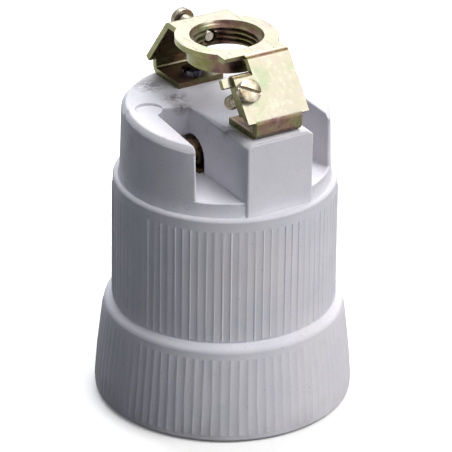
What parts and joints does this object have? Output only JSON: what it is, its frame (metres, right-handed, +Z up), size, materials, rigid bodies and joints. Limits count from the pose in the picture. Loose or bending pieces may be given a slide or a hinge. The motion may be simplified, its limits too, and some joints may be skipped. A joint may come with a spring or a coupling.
{
  "type": "lamp holder",
  "caption": "Porcelain screw-shell lamp holder: ribbed body with a flared skirt, open wiring slots beside its top block and a folded steel bracket with a threaded collar.",
  "frame": {"origin": "middle of the skirt's rim, on the plane it stands on", "axes": "+Z up along the lamp axis towards the bracket's collar, -Y towards the open mouths of the wiring slots and the leg with the earth screw"},
  "size_m": [0.0652, 0.0652, 0.095],
  "materials": {
    "porcelain": "white unglazed porcelain, semi-matt, slightly speckled",
    "passivated_steel": "yellow-passivated zinc on sheet steel, pink and green tints",
    "screw_steel": "zinc-plated steel",
    "blued_steel": "dark blued steel",
    "brass": "plain brass strip, slightly tarnished",
    "screw_brass": "brass screws, slightly tarnished",
    "shell_brass": "rolled thin brass",
    "spring_steel": "bright spring steel"
  },
  "bodies": {
    "holder": {"porcelain_body": "porcelain", "bracket": "passivated_steel", "foot_screw_front": "blued_steel", "foot_screw_rear": "blued_steel", "foot_nut_front": "screw_steel", "foot_nut_rear": "screw_steel", "terminal_left": "brass", "terminal_right": "brass", "screw_shell": "shell_brass", "contact_strap": "brass", "contact_spring": "spring_steel", "strap_screw": "screw_brass", "shell_screw_front": "screw_brass", "shell_screw_rear": "screw_brass"},
    "earth": {"earth_screw": "screw_steel"},
    "locking": {"locking_screw": "screw_steel"},
    "clamp_left": {"terminal_screw_left": "screw_brass", "clamp_plate_left": "screw_steel"},
    "clamp_right": {"terminal_screw_right": "screw_brass", "clamp_plate_right": "screw_steel"},
    "plunger": {"contact_plunger": "brass", "plunger_clip": "spring_steel"}
  },
  "joints": [
    {"name": "earth_screw_travel", "type": "slide", "parent": "holder", "child": "earth", "axis": [0, -0.7903, 0.6127], "range_m": [0, 0.004]},
    {"name": "locking_screw_travel", "type": "slide", "parent": "holder", "child": "locking", "axis": [0, 1, 0], "range_m": [-0.0006, 0.0016]},
    {"name": "terminal_screw_left_travel", "type": "slide", "parent": "holder", "child": "clamp_left", "axis": [-1, 0, 0], "range_m": [-0.0015, 0.0018]},
    {"name": "terminal_screw_right_travel", "type": "slide", "parent": "holder", "child": "clamp_right", "axis": [1, 0, 0], "range_m": [-0.0015, 0.0018]},
    {"name": "contact_plunger_travel", "type": "slide", "parent": "holder", "child": "plunger", "axis": [0, 0, 1], "range_m": [0, 0.0024], "stiffness_N_per_m": 4000, "springref_m": -0.0005, "deforming": ["contact_spring"]}
  ]
}
